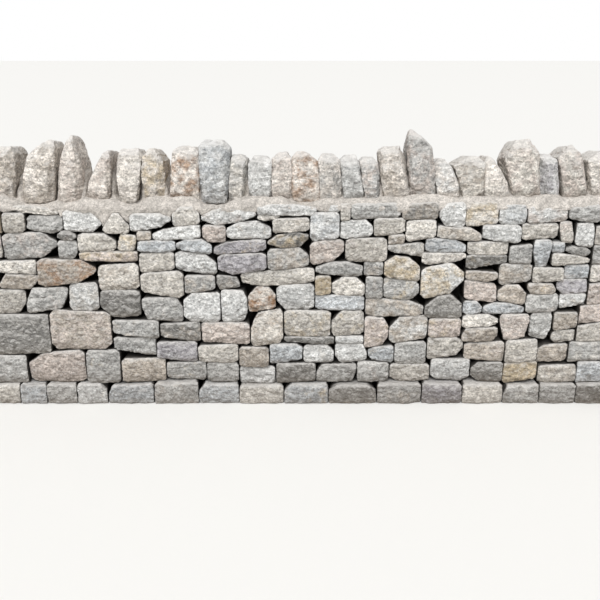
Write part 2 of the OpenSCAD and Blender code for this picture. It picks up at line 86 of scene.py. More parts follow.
def turn(name, description, degrees):
    """An angle that the user can change, given in degrees."""
    return FloatProperty(name=name, description=description, subtype="ANGLE", default=math.radians(degrees))


class WallShape(bpy.types.PropertyGroup):
    """Sizes of the relief of the stones and the mortar."""

    face_step: length("Mesh step", "Distance between points on a stone before it breaks into facets", 6 * MM)
    cope_step: length("Cope mesh step", "Distance between points on a cope stone before its facets", 6 * MM)
    mortar_step: length("Mortar mesh step", "Distance between points on the mortar", 9 * MM)
    skin: length("Skin", "Depth of a face stone that is left rough", 24 * MM)
    growth: length("Growth", "Distance by which a stone's skin closes its joints", 2.5 * MM)
    cope_growth: length("Cope growth", "Width by which a cope stone closes the gaps beside it", 16 * MM)
    cope_drop: length("Cope drop", "Depth by which a cope stone's foot goes down into the mortar", 30 * MM)
    hollow_size: length("Hollow size", "Width of the broad hollows of a stone", 45 * MM)
    hollow_depth: length("Hollow depth", "Depth of the broad hollows of a stone", 13 * MM)
    edge_size: length("Edge size", "Width of the small breaks along a stone's edges", 40 * MM)
    pit_size: length("Pit size", "Width of the small pits of a stone", 12 * MM)
    pit_depth: length("Pit depth", "Depth of the small pits of a stone", 4 * MM)
    facets: FloatProperty(
        name="Facets", description="Share of the points left where a stone broke into facets", default=0.1
    )
    seed: IntProperty(name="Seed", description="Start of the random choices", default=7)


class WallColours(bpy.types.PropertyGroup):
    """Colours of the kinds of stone, of their weathering and of the mortar."""

    grey: colour("Grey", "Grey gritstone", "aeadaa")
    blue: colour("Blue grey", "Blue grey limestone", "b9bcbe")
    dark: colour("Dark grey", "Dark grey gritstone", "888682")
    purple: colour("Purple grey", "Purple grey gritstone", "a5a2a5")
    white: colour("White", "Pale grey limestone", "d4d4d2")
    pale: colour("Pale", "Very pale limestone", "e2dbd3")
    cream: colour("Cream", "Cream limestone", "d6d1c9")
    beige: colour("Beige", "Beige sandstone", "c0bbb3")
    tan: colour("Tan", "Tan sandstone", "b3aa9f")
    pink: colour("Pink", "Pinkish sandstone", "c3b8b0")
    ochre: colour("Ochre", "Ochre sandstone", "bfb097")
    rust: colour("Rust", "Rusty ironstone", "9a7a5f")
    mortar: colour("Mortar", "Sandy lime mortar", "c6c0b9")
    # Paler on stone that faces up: partly a bleached crust and partly painted light from above
    dust_and_sky_light: colour("Dust", "Bleached crust on stone that faces up", "dddad6")
    # Painted shade: darker on stone that faces down
    underside_shade: colour("Damp", "Damp dirt on stone that faces down", "59524b")
    # Paler on convex edges: partly fresh stone where the edges wear, partly a painted highlight
    worn_and_highlit: colour("Worn edges", "Fresh pale stone on worn edges", "e7e5e1")
    # Darker in hollows and pits: partly dirty, partly painted shade
    dirt_and_shade: colour("Dirt", "Dirt in hollows and pits", "615952")
    # Darker near the ground: partly soil splashed up, partly painted shade
    splash: colour("Splash", "Soil splashed against the foot of the wall", "65594d")
    # Painted highlight on the upper part of each stone
    top_light: colour("Washed", "Upper part of each stone, washed by rain", "e5e2de")
    # Painted shade on the lower part of each stone
    bottom_shade: colour("Grime", "Lower part of each stone, where the rain doesn't reach", "6f6559")
    # Soil and painted shade in the joints between the stones
    joint_soil_and_shade: colour("Joints", "Dark of the joints between the stones", "302c27")
    shade: colour("Hearting", "Stones packed inside the wall, in shade", "4a4540")
    # Painted shade: the gaps between the packed stones drawn nearly black
    gaps: colour("Hearting gaps", "Gaps between the packed stones", "272321")
    floor: colour("Floor", "Plain studio floor", "ecebe8")


class WallStage(bpy.types.PropertyGroup):
    """Camera and lights."""

    lens: FloatProperty(name="Lens", description="Focal length in millimetres", unit="CAMERA", default=38.4)
    eye_height: length("Eye height", "Height of the camera over the ground", 1.614)
    distance: length("Distance", "Distance of the camera from the middle of the wall", 3.076)
    pitch: turn("Pitch", "Fall of the camera's view", 20.95)
    sky: FloatProperty(name="Sky", description="Strength of the light from all sides", default=0.48)
    key: FloatProperty(name="Key", description="Strength of the broad light from the front", default=2.6)
    key_fall: turn("Key fall", "Turn of the broad light from overhead towards the front", 34)
    key_side: turn("Key side", "Turn of the broad light towards one end of the wall", -12)
    key_spread: turn("Key spread", "Breadth of the broad light, which softens the shadows", 45)
    floor_size: length("Floor size", "Side of the floor, which reaches to the horizon", 400)


# Kinds of stone, how often each is drawn for a stone that isn't listed, and the colours of the stains
KINDS = ("grey", "blue", "dark", "purple", "white", "cream", "beige", "tan", "pink", "ochre", "rust")
KIND_SHARES = (5, 3, 2, 1.5, 4, 3, 6, 4, 4, 0.7, 0.2)
STAINS = ("ochre", "cream", "white", "tan", "pink")

# Share of a stone that a listed stain covers, and the ranges of the drawn stains and of the brightness
LISTED_STAIN = 0.36
DRAWN_STAIN = (0.1, 0.3)
BRIGHTNESS = (0.86, 1.08)

# Places of stones on the faces in centimetres, along the wall and up, with their kinds and stains
LOOKS = (
    (-146, 17, "grey"), (-120, 18, "pink"), (-96, 18, "grey"),
    (-135, 35, "dark"), (-106, 36, "tan", "pink"), (-22, 23, "tan"), (9, 24, "white"), (54, 25, "grey"),
    (-16, 38, "tan", "cream"), (4, 31, "dark"), (52, 37, "tan", "white"), (103, 38, "pink"),
    (116, 38, "grey"),
    (-139, 51, "beige"), (-121, 53, "grey"), (-103, 53, "white", "beige"), (-86, 50, "dark"),
    (-66, 47, "grey"), (-18, 52, "rust", "cream"), (3, 40, "beige"), (23, 40, "beige"),
    (45, 47, "tan", "grey"), (68, 49, "dark"), (87, 41, "cream"),
    (-133, 60, "tan"), (-110, 65, "tan", "rust"), (-86, 62, "cream", "tan"), (-65, 60, "beige"),
    (-47, 60, "grey"), (-2, 53, "white"), (19, 50, "blue"), (35, 58, "grey"), (48, 56, "grey"),
    (67, 61, "white", "ochre"), (82, 48, "blue"), (97, 48, "blue"), (116, 50, "grey"),
    (-137, 68, "cream"), (-108, 76, "grey"), (-90, 72, "pink", "ochre"), (-67, 70, "beige"),
    (-49, 70, "white"), (-10, 62, "beige"), (11, 59, "ochre"), (23, 59, "cream"), (48, 66, "ochre", "cream"),
    (86, 57, "pink"), (101, 55, "tan"), (115, 57, "tan"),
    (-126, 78, "grey"), (-108, 82, "dark"), (-95, 80, "beige"), (-80, 80, "cream", "ochre"),
    (-67, 78, "blue"), (-49, 78, "blue"), (-27, 70, "purple"), (-5, 72, "grey", "tan"), (18, 67, "grey"),
    (35, 67, "grey"), (67, 72, "cream"), (86, 64, "tan"), (102, 64, "tan", "grey"), (117, 64, "beige"),
    (-132, 89, "beige"), (-118, 88, "grey"), (-101, 89, "white"), (-85, 89, "cream"), (-72, 83, "tan"),
    (-58, 84, "white"), (-28, 77, "purple"), (-5, 81, "dark", "ochre"), (12, 76, "pink"), (31, 76, "beige"),
    (49, 76, "beige", "grey"), (68, 77, "blue"), (88, 71, "dark"), (113, 74, "blue"), (127, 71, "beige"),
    (-123, 95, "cream"), (-69, 90, "white"), (-52, 92, "cream"), (-40, 85, "pink"), (-23, 86, "white"),
    (-4, 87, "cream"), (11, 87, "white", "blue"), (26, 86, "white"), (45, 81, "tan"), (56, 86, "cream"),
    (88, 77, "beige"), (130, 75, "dark"),
    (-33, 92, "white"), (-14, 91, "cream"), (21, 93, "cream"), (41, 87, "beige"), (74, 84, "beige", "tan"),
    (93, 84, "white"), (111, 85, "beige"), (124, 84, "cream", "pink"), (132, 83, "white"),
    (-6, 95, "white"), (13, 95, "white"), (35, 95, "grey"), (55, 95, "dark", "tan"), (70, 94, "white"),
    (84, 93, "cream", "ochre"), (98, 92, "white", "blue"), (114, 92, "white", "pink"), (131, 92, "grey"),
)

# Places of front stones in centimetres whose beds reach further down and up, by millimetres
REACHES = ((49, 76, 14, 0), (48, 67, 0, 14), (-6, 95, 13, 0))

# Distance within which a listed place means a stone
NEAR = 5 * CM

# Kinds and stains of the cope stones from left to right
COPE_LOOKS = (
    ("beige",), ("white",), ("pale", "tan"), ("pale", "tan"), ("pale", "pink"), ("pale", "pink"),
    ("pale", "cream"), ("pale", "ochre"), ("pale", "rust"), ("blue", "white"), ("cream", "grey"),
    ("white", "grey"), ("pale", "pink"), ("pale", "rust"), ("pale", "grey"), ("white", "grey"),
    ("white", "pink"), ("pale", "tan"), ("grey", "pink"), ("pale", "white"), ("cream", "tan"),
    ("pale", "cream"), ("cream", "pink"), ("white", "purple"), ("cream", "pink"), ("pale", "cream"),
    ("white",), ("cream",),
)

# Height in millimetres by which the mortar comes up round each cope stone's foot, or lies lower
FEET = (
    10, -10, 20, -28, -18, -8, -24, 12, 8, -32, 6, 8, 6, -20,
    -4, 0, -2, 8, 20, 4, 14, 12, 12, 22, 2, 12, -10, 5,
)
DEEPEST_FOOT = 40

# Ranges in millimetres of the lumps of mortar: half their width, and how far they rise or hang
COLLAR_RISE = (6, 16)
LAP_WIDTH = (30, 70)
LAP_FALL = (4, 30)
FILL_WIDTH = (14, 24)
FILL_RISE = (90, 150)

# Names, widths and depths of the mortar's relief
MORTAR_RELIEF = (("mortar_waves", 80 * MM, 18 * MM), ("mortar_grit", 20 * MM, 8 * MM))

# Share of the faces' height by which they lean in, and how near to a side a stone lies open to it
FACE_LEAN = 0.08
OPEN_REACH = 60 * MM

FRONT, BACK = Vector((0, -1, 0)), Vector((0, 1, 0))
LEFT, RIGHT = Vector((-1, 0, 0)), Vector((1, 0, 0))
UP = Vector((0, 0, 1))


def settings():
    """The wall's settings in the scene."""
    return bpy.context.scene.wall_shape, bpy.context.scene.wall_colours, bpy.context.scene.wall_stage


def deselect():
    """Nothing stays selected."""
    for item in bpy.context.selected_objects:
        item.select_set(False)


def make_active(piece):
    """Selects one object alone."""
    deselect()
    piece.select_set(True)
    bpy.context.view_layer.objects.active = piece


def merged_copy(name, node):
    """A copy of a CAD node's mesh in an object of its own, with its doubled points merged."""
    piece = bpy.data.objects.new(name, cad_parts[node].data.copy())
    piece.data.materials.clear()
    bpy.context.scene.collection.objects.link(piece)
    make_active(piece)
    bpy.ops.object.mode_set(mode="EDIT")
    bpy.ops.mesh.select_all(action="SELECT")
    bpy.ops.mesh.remove_doubles(threshold=0.05 * MM)
    bpy.ops.object.mode_set(mode="OBJECT")
    return piece


def loose_stones(piece):
    """The separate stones of a piece, from left to right."""
    make_active(piece)
    bpy.ops.object.mode_set(mode="EDIT")
    bpy.ops.mesh.select_all(action="SELECT")
    bpy.ops.mesh.separate(type="LOOSE")
    bpy.ops.object.mode_set(mode="OBJECT")
    return sorted(bpy.context.selected_objects, key=lambda stone: tuple(round(c, 3) for c in middle(stone)))


def corners(stone):
    """The lowest and the highest corner of an object's box."""
    return Vector(stone.bound_box[0]), Vector(stone.bound_box[6])


def middle(stone):
    """The middle of an object's box."""
    low, high = corners(stone)
    return (low + high) / 2


def distance(listed, place):
    """How far a listed place in centimetres lies from a place on the wall's face."""
    return math.hypot(listed[0] * CM - place.x, listed[1] * CM - place.z)


def relief(name, size, noise):
    """A solid noise that shapes the surfaces."""
    texture = bpy.data.textures.get(name) or bpy.data.textures.new(name, "CLOUDS")
    texture.noise_scale = size
    texture.noise_type = noise
    return texture


def add_modifier(piece, kind, **values):
    """Adds a modifier and applies it."""
    modifier = piece.modifiers.new(kind.lower(), kind)
    for key, value in values.items():
        setattr(modifier, key, value)
    with bpy.context.temp_override(object=piece, active_object=piece, selected_objects=[piece]):
        bpy.ops.object.modifier_apply(modifier=modifier.name)


def displace(stone, strength, level=0.5, texture=None, group="", direction="NORMAL"):
    """Moves a surface along its normals or along an axis, by a noise or evenly."""
    values = {"texture": texture, "texture_coords": "LOCAL"} if texture else {}
    values.update(mid_level=level, vertex_group=group, direction=direction)
    add_modifier(stone, "DISPLACE", strength=strength, **values)


def chip(stone, direction, depth):
    """Breaks off what stands out furthest in a direction, by a depth."""
    direction = direction.normalized()
    stone.update_from_editmode()
    reach = max(direction.dot(v.co) for v in stone.data.vertices)
    bpy.ops.mesh.select_all(action="SELECT")
    bpy.ops.mesh.bisect(
        plane_co=direction * (reach - depth), plane_no=direction, use_fill=True, clear_outer=True
    )


def break_face(stone, draw, planes, depth, outward, steepest=0.3):
    """Breaks a stone's outer face into a few planes that tilt by up to the steepest angle, in radians."""
    make_active(stone)
    bpy.ops.object.mode_set(mode="EDIT")
    size = stone.dimensions
    for k in range(planes):
        around = math.tau * (k + draw.uniform(0.1, 0.9)) / planes
        tilt = draw.uniform(0.06, steepest)
        along = Vector((math.cos(around), 0, math.sin(around)))
        reach = abs(along.x) * size.x / 2 + abs(along.z) * size.z / 2
        share = min(depth, reach * math.sin(tilt) * draw.uniform(0.2, 0.6))
        chip(stone, outward * math.cos(tilt) + along * math.sin(tilt), share)
    bpy.ops.object.mode_set(mode="OBJECT")


def break_edges(stone, draw, depth):
    """Breaks the upright edges of a cope stone and the edges of its crown with chips of their own."""
    make_active(stone)
    bpy.ops.object.mode_set(mode="EDIT")
    for quarter in (1, 3, 5, 7):
        around = math.pi * (quarter + draw.uniform(-0.45, 0.45)) / 4
        tilt = draw.uniform(-0.15, 0.35)
        chip(stone, Vector((math.cos(around), math.sin(around), tilt)), draw.uniform(0.3, 1.2) * depth)
    for side in (-1, 1):
        direction = Vector((draw.uniform(-0.4, 0.4), side, draw.uniform(0.9, 1.8)))
        chip(stone, direction, draw.uniform(0.3, 1.2) * depth)
    bpy.ops.object.mode_set(mode="OBJECT")


def depths(stone, sides):
    """How far each point of a stone lies behind the nearest of its open sides."""
    places = np.empty(len(stone.data.vertices) * 3, np.float32)
    stone.data.vertices.foreach_get("co", places)
    reaches = places.reshape(-1, 3) @ np.array(sides).T
    return (reaches.max(axis=0) - reaches).min(axis=1)


def joint_depths(stone, sides, bare):
    """How deep each point of a stone lies in its joints, less where it faces outward or up to a bare bed:
    where soil and painted shade darken it.
    """
    normals = np.empty(len(stone.data.vertices) * 3, np.float32)
    stone.data.vertex_normals.foreach_get("vector", normals)
    outward = np.array([*sides, (0, 0, bare)])
    facing = (normals.reshape(-1, 3) @ outward.T).max(axis=1)
    return depths(stone, sides) * (1 - facing.clip(0, 1))


def reach_out(stone):
    """Lets the beds of the listed stones reach further down or up, to close the wide gaps beside them."""
    place = middle(stone)
    for along, up, below, above in REACHES:
        if distance((along, up), place) < NEAR and place.y < 0:
            for vertex in stone.data.vertices:
                vertex.co.z += (above if vertex.co.z > place.z else -below) * MM


def skin_group(stone, sides):
    """Marks the outer skin of a stone on its open sides, so that its hidden rest stays plain."""
    shape, _, _ = settings()
    shown = np.flatnonzero(depths(stone, sides) < shape.skin)
    group = stone.vertex_groups.new(name="skin")
    group.add(shown.tolist(), 1.0, "REPLACE")
    return group.name


def mesh_evenly(stone, step, sides):
    """Gives a stone an even mesh and grows its skin on the open sides."""
    shape, _, _ = settings()
    add_modifier(stone, "REMESH", mode="VOXEL", voxel_size=step, adaptivity=0)
    group = skin_group(stone, sides)
    displace(stone, shape.growth, 0, group=group)
    return group


def roughen_face(stone, sides):
    """Breaks the open sides of a face stone into hollows and keeps its outline crisp."""
    shape, _, _ = settings()
    group = mesh_evenly(stone, shape.face_step, sides)
    hollows = relief("hollows", shape.hollow_size, "HARD_NOISE")
    for side in sides:
        depth = math.copysign(shape.hollow_depth, side.x + side.y)
        displace(stone, depth, 0.6, hollows, group, "X" if side.x else "Y")
    edges = relief("edges", shape.edge_size, "HARD_NOISE")
    displace(stone, shape.hollow_depth * 0.3, 0.5, edges, group)
    return group


def roughen_all(stone, sides):
    """Breaks a cope stone into broad facets all round, with small breaks along its edges."""
    shape, _, _ = settings()
    group = mesh_evenly(stone, shape.cope_step, sides)
    facets = relief("facets", shape.hollow_size * 1.6, "HARD_NOISE")
    displace(stone, shape.hollow_depth * 0.9, 0.6, facets, group)
    edges = relief("edges", shape.edge_size, "HARD_NOISE")
    displace(stone, shape.hollow_depth * 0.4, 0.5, edges, group)
    return group


def pit(stone, group):
    """Draws a rough stone together into facets and covers them with small pits."""
    shape, _, _ = settings()
    add_modifier(stone, "DECIMATE", ratio=shape.facets)
    make_active(stone)
    bpy.ops.object.mode_set(mode="EDIT")
    bpy.ops.mesh.select_mode(type="VERT")
    bpy.ops.mesh.select_all(action="DESELECT")
    bpy.ops.object.vertex_group_select()
    bpy.ops.mesh.subdivide(number_cuts=1)
    bpy.ops.mesh.select_all(action="SELECT")
    bpy.ops.mesh.quads_convert_to_tris()
    bpy.ops.object.mode_set(mode="OBJECT")
    displace(stone, shape.pit_depth, 0.5, relief("pits", shape.pit_size, "SOFT_NOISE"), group)


def open_sides(stone):
    """Directions in which a stone of a face or a wall head lies open to the air."""
    low, high = corners(stone)
    sides = []
    if low.y < 0 and low.y < -high.y + OPEN_REACH:
        sides.append(Vector((0, -1, FACE_LEAN)))
    if high.y > 0 and high.y > -low.y - OPEN_REACH:
        sides.append(Vector((0, 1, FACE_LEAN)))
    if low.x < CAD_BOX[0][0] + OPEN_REACH:
        sides.append(LEFT)
    if high.x > CAD_BOX[1][0] - OPEN_REACH:
        sides.append(RIGHT)
    return sides


def draw_of(stone):
    """Random choices that depend on a stone's place alone."""
    shape, _, _ = settings()
    place = middle(stone)
    return random.Random(f"{shape.seed} {place.x:.3f} {place.y:.3f} {place.z:.3f}")


def look_of(stone, draw):
    """The kind of a stone and its stain if it has one, from the listed place next to it or else drawn."""
    place = middle(stone)
    nearest = min(LOOKS, key=lambda look: distance(look, place))
    if distance(nearest, place) < NEAR:
        return nearest[2:]
    return (draw.choices(KINDS, KIND_SHARES)[0],)


def paint(stone, draw, look, depth):
    """Gives a stone its colours, the place of its grain, its depth and its rise, for the material to read."""
    _, colours, _ = settings()
    light = draw.uniform(*BRIGHTNESS)
    tone = [c * light for c in getattr(colours, look[0])]
    if len(look) > 1:
        stain, amount = look[1], LISTED_STAIN
    else:
        stain, amount = draw.choice(STAINS), draw.uniform(*DRAWN_STAIN)
    shift = [draw.uniform(-50, 50) for _ in range(3)]
    count = len(stone.data.vertices)
    heights = depths(stone, (-UP,))
    for name, values in (("depth", depth), ("rise", heights / heights.max()), ("stained", [amount] * count)):
        layer = stone.data.attributes.new(name, "FLOAT", "POINT")
        layer.data.foreach_set("value", values)
    for name, value in (("tone", tone), ("stain", getattr(colours, stain))):
        layer = stone.data.attributes.new(name, "FLOAT_COLOR", "POINT")
        layer.data.foreach_set("color", [*value, 1] * count)
    layer = stone.data.attributes.new("shift", "FLOAT_VECTOR", "POINT")
    layer.data.foreach_set("vector", shift * count)


def join(name, stones, node, material):
    """Joins stones into one piece that stands for a CAD node."""
    deselect()
    for stone in stones:
        stone.select_set(True)
    bpy.context.view_layer.objects.active = stones[0]
    if len(stones) > 1:
        bpy.ops.object.join()
    piece = bpy.context.view_layer.objects.active
    piece.name = name
    piece.data.name = name
    piece.data.materials.clear()
    piece.data.materials.append(material)
    bpy.ops.object.shade_flat()
    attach(piece, "root")
    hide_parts(node)
    return piece


def dress_stones(node, planes, depth, bare=0.4):
    """Dresses all the stones of a node and joins them again."""
    stones = loose_stones(merged_copy(node + "_stone", node))
    for stone in stones:
        draw = draw_of(stone)
        look = look_of(stone, draw)
        sides = open_sides(stone)
        reach_out(stone)
        for side in sides:
            break_face(stone, draw, planes, depth, side)
        pit(stone, roughen_face(stone, sides))
        paint(stone, draw, look, joint_depths(stone, sides, bare))
    join(node + "_stones", stones, node, material_of("weathered_rubble_stone", rubble_material))


def within(place, half, end):
    """The place of a lump along the wall, moved where needed so that the lump stays between the ends."""
    return min(max(place, half - end), end - half)


def mortar_lumps(top, edge, end):
    """Places and half sizes of the lumps of mortar that were pressed in round and between the cope stones."""
    lumps = []
    for number, rise in enumerate(FEET, 1):
        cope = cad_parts[f"cope_stone_{number}"]
        draw = draw_of(cope)
        centre = middle(cope).x
        width = cope.dimensions.x
        reach = cope.dimensions.y / 2
        for side in (-1, 1):
            # Mortar drawn up round the stone's foot
            along = centre + draw.uniform(-0.2, 0.2) * width
            height = max(0, rise) + draw.uniform(*COLLAR_RISE)
            half = width * draw.uniform(0.7, 1.1)
            place = (within(along, half, end), side * (reach + 4 * MM), top - 14 * MM)
            lumps.append((place, (half, 34 * MM, height * MM)))
            # Mortar lapped over the stones of the top course
            for share in (-0.5, 0.3):
                along = centre + (share + draw.uniform(-0.2, 0.2)) * width
                half = draw.uniform(*LAP_WIDTH) * MM
                place = (within(along, half, end), side * (edge - 9 * MM), top - 36 * MM)
                lumps.append((place, (half, 18 * MM, draw.uniform(*LAP_FALL) * MM)))
        # Mortar pressed up between this stone and the next
        if number < len(FEET):
            size = (draw.uniform(*FILL_WIDTH) * MM, reach * 0.8, draw.uniform(*FILL_RISE) * MM)
            lumps.append(((centre + width / 2, 0, top), size))
    return lumps


def mark_dips(bed, top):
    """Marks the mortar in front of the cope stones whose feet show lower, the more the deeper they go."""
    feet = []
    for number, rise in enumerate(FEET, 1):
        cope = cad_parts[f"cope_stone_{number}"]
        feet.append((-rise, middle(cope).x, cope.dimensions.x * 0.6))
    group = bed.vertex_groups.new(name="dips")
    for vertex in bed.data.vertices:
        low = max(deep * math.exp(-(((vertex.co.x - x) / half) ** 4)) for deep, x, half in feet)
        if low > 1 and abs(vertex.co.y) > 60 * MM and vertex.co.z > top - 30 * MM:
            group.add([vertex.index], low / DEEPEST_FOOT, "REPLACE")
    return group.name


def settle_cope(stone):
    """Makes a cope stone a little wider and lets its foot down into the mortar."""
    shape, _, _ = settings()
    foot = min(v.co.z for v in stone.data.vertices)
    centre = middle(stone).x
    wider = 1 + shape.cope_growth / stone.dimensions.x
    for vertex in stone.data.vertices:
        vertex.co.x = centre + (vertex.co.x - centre) * wider
        if vertex.co.z < foot + 1 * MM:
            vertex.co.z -= shape.cope_drop


def add_node(tree, kind, inputs=None, **values):
    """Adds a node with its settings, its input values and its links."""
    node = tree.nodes.new(kind)
    for key, value in values.items():
        setattr(node, key, value)
    sockets = [socket for socket in node.inputs if socket.enabled]
    for key, value in (inputs or {}).items():
        named = [socket for socket in sockets if socket.name == key]
        socket = named[0] if named else sockets[key]
        if isinstance(value, bpy.types.NodeSocket):
            tree.links.new(value, socket)
        else:
            socket.default_value = value
    return node


def tone_by(tree, base, pattern, start, full, darkest, palest):
    """Darkens and lightens a colour by a pattern, from where it starts to where it is full."""
    inputs = {"Value": pattern, "From Min": start, "From Max": full, "To Min": darkest, "To Max": palest}
    share = add_node(tree, "ShaderNodeMapRange", inputs).outputs["Result"]
    toned = add_node(tree, "ShaderNodeVectorMath", {"Vector": base, "Scale": share}, operation="SCALE")
    return toned.outputs["Vector"]


def speckle(tree, base, place, size, darkest, palest):
    """Gives a colour soft blotches that are about as wide as a size in metres."""
    inputs = {"Vector": place, "Scale": 1 / size, "Detail": 3, "Roughness": 0.7}
    pattern = add_node(tree, "ShaderNodeTexNoise", inputs).outputs["Fac"]
    return tone_by(tree, base, pattern, 0.4, 0.6, darkest, palest), pattern


def grain(tree, base, place, size, darkest, palest):
    """Gives a colour grains of their own brightness, as broken rock has, as wide as a size in metres."""
    cells = add_node(tree, "ShaderNodeTexVoronoi", {"Vector": place, "Scale": 1 / size}).outputs["Color"]
    pattern = add_node(tree, "ShaderNodeSeparateXYZ", {0: cells}).outputs["X"]
    return tone_by(tree, base, pattern, 0, 1, darkest, palest), pattern


def cover(tree, base, tint, value, start, full, most):
    """Lays a tint over a colour, from nothing where a value is at its start to the most where it is full."""
    inputs = {"Value": value, "From Min": start, "From Max": full, "To Min": 0, "To Max": most}
    share = add_node(tree, "ShaderNodeMapRange", inputs).outputs["Result"]
    tint = tint if isinstance(tint, bpy.types.NodeSocket) else (*tint, 1)
    inputs = {"Factor": share, "A": base, "B": tint}
    return add_node(tree, "ShaderNodeMix", inputs, data_type="RGBA").outputs["Result"]


def new_material(name):
    """An empty material with its tree and shader."""
    material = bpy.data.materials.new(name)
    material.use_nodes = True
    return material, material.node_tree, material.node_tree.nodes["Principled BSDF"]


def material_of(name, make):
    """A material that is made once."""
    return bpy.data.materials.get(name) or make()


def roughen(tree, shader, patterns, depth, strength):
    """Gives a surface a fine relief from the sum of two patterns."""
    height = add_node(tree, "ShaderNodeMath", {0: patterns[0], 1: patterns[1]}, operation="ADD").outputs[0]
    bump = add_node(tree, "ShaderNodeBump", {"Height": height, "Distance": depth, "Strength": strength})
    tree.links.new(bump.outputs["Normal"], shader.inputs["Normal"])


def rubble_material():
    """Gritstone, sandstone and limestone, split with a hammer and weathered: matt and grainy.

    The eye sees one tone a stone, with blotches, a stain, grains of their own brightness, pale edges from
    wear and from a painted highlight, tops paler from a bleached crust and from painted light, painted shade
    on the undersides and on the lower part of each stone, and dirty hollows darkened further by painted
    shade. The joints between the stones are nearly black, from soil and painted shade. The grains of the real
    stones are about 1 mm, too fine to show, so they are drawn 7 mm wide.
    """
    _, colours, _ = settings()
    material, tree, shader = new_material("weathered_rubble_stone")
    coordinates = add_node(tree, "ShaderNodeTexCoord").outputs["Object"]
    shift = add_node(tree, "ShaderNodeAttribute", attribute_name="shift").outputs["Vector"]
    moved = add_node(tree, "ShaderNodeVectorMath", {0: coordinates, 1: shift}, operation="ADD")
    place = moved.outputs["Vector"]
    tone = add_node(tree, "ShaderNodeAttribute", attribute_name="tone").outputs["Color"]
    stain = add_node(tree, "ShaderNodeAttribute", attribute_name="stain").outputs["Color"]
    stained = add_node(tree, "ShaderNodeAttribute", attribute_name="stained").outputs["Fac"]
    rise = add_node(tree, "ShaderNodeAttribute", attribute_name="rise").outputs["Fac"]
    depth = add_node(tree, "ShaderNodeAttribute", attribute_name="depth").outputs["Fac"]
    geometry = add_node(tree, "ShaderNodeNewGeometry").outputs
    facing = add_node(tree, "ShaderNodeSeparateXYZ", {0: geometry["Normal"]}).outputs["Z"]
    height = add_node(tree, "ShaderNodeSeparateXYZ", {0: coordinates}).outputs["Z"]

    # Broad blotches, and over them the stain in patches of about 55 mm
    base, _ = speckle(tree, tone, place, 80 * MM, 0.85, 1.1)
    inputs = {"Vector": place, "Scale": 1 / (55 * MM), "Detail": 5, "Roughness": 0.65}
    patches = add_node(tree, "ShaderNodeTexNoise", inputs).outputs["Fac"]
    threshold = add_node(tree, "ShaderNodeMath", {0: patches, 1: stained}, operation="ADD").outputs[0]
    base = cover(tree, base, stain, threshold, 0.78, 0.95, 0.8)

    # Mottling drawn out along the stone's bedding, and the grains
    bedding = add_node(tree, "ShaderNodeVectorMath", {0: place, 1: (0.7, 1, 2)}, operation="MULTIPLY")
    base, mottle = speckle(tree, base, bedding.outputs["Vector"], 26 * MM, 0.74, 1.18)
    base, grains = grain(tree, base, place, 7 * MM, 0.66, 1.34)

    # Paler tops from a bleached crust and from painted light; painted shade on the undersides; pale edges
    # from wear and a painted highlight; dirty hollows with painted shade
    # Partly painted light: paler where the stone faces up
    base = cover(tree, base, colours.dust_and_sky_light, facing, 0.15, 0.6, 0.5)
    # Painted shade: darker where the stone faces down
    base = cover(tree, base, colours.underside_shade, facing, -0.1, -0.6, 0.6)
    # Paler on convex edges: partly wear, partly a painted highlight
    base = cover(tree, base, colours.worn_and_highlit, geometry["Pointiness"], 0.52, 0.6, 0.4)
    # Darker in hollows and pits: partly dirty, partly painted shade
    base = cover(tree, base, colours.dirt_and_shade, geometry["Pointiness"], 0.49, 0.4, 0.6)

    # Soil splashed up to about 0.4 m, with a ragged upper edge, together with painted shade near the ground
    splash = add_node(tree, "ShaderNodeMath", {0: mottle, 1: 0.3, 2: height}, operation="MULTIPLY_ADD")
    base = cover(tree, base, colours.splash, splash.outputs[0], 0.42, 0.16, 0.4)

    # Painted light on each stone: its upper part paler and its lower part darker, with a ragged border
    top_light = add_node(tree, "ShaderNodeMath", {0: mottle, 1: 0.4, 2: rise}, operation="MULTIPLY_ADD")
    base = cover(tree, base, colours.top_light, top_light.outputs[0], 1.0, 1.2, 0.35)
    base = cover(tree, base, colours.bottom_shade, top_light.outputs[0], 0.55, 0.2, 0.4)

    # Soil and painted shade in the joints, growing dark from 4 mm to 13 mm behind the face
    base = cover(tree, base, colours.joint_soil_and_shade, depth, 4 * MM, 13 * MM, 0.9)
    tree.links.new(base, shader.inputs["Base Color"])
    shader.inputs["Roughness"].default_value = 0.93
    shader.inputs["Specular IOR Level"].default_value = 0.2
    roughen(tree, shader, (mottle, grains), 8 * MM, 0.9)
    return material


def mortar_material():
    """Lime mortar with coarse sand, pressed in by hand and left as it came from the trowel.

    The eye sees a pale, matt, gritty surface with faint clouds. The sand is about 2 mm, too fine to show, so
    it is drawn 6 mm wide.
    """
    _, colours, _ = settings()
    material, tree, shader = new_material("sandy_lime_mortar")
    place = add_node(tree, "ShaderNodeTexCoord").outputs["Object"]
    base, _ = speckle(tree, colours.mortar[:], place, 90 * MM, 0.92, 1.06)
    base, pits = speckle(tree, base, place, 24 * MM, 0.86, 1.08)
    base, grit = grain(tree, base, place, 6 * MM, 0.76, 1.24)
    tree.links.new(base, shader.inputs["Base Color"])
    shader.inputs["Roughness"].default_value = 0.95
    shader.inputs["Specular IOR Level"].default_value = 0.15
    roughen(tree, shader, (grit, pits), 4 * MM, 0.6)
    return material


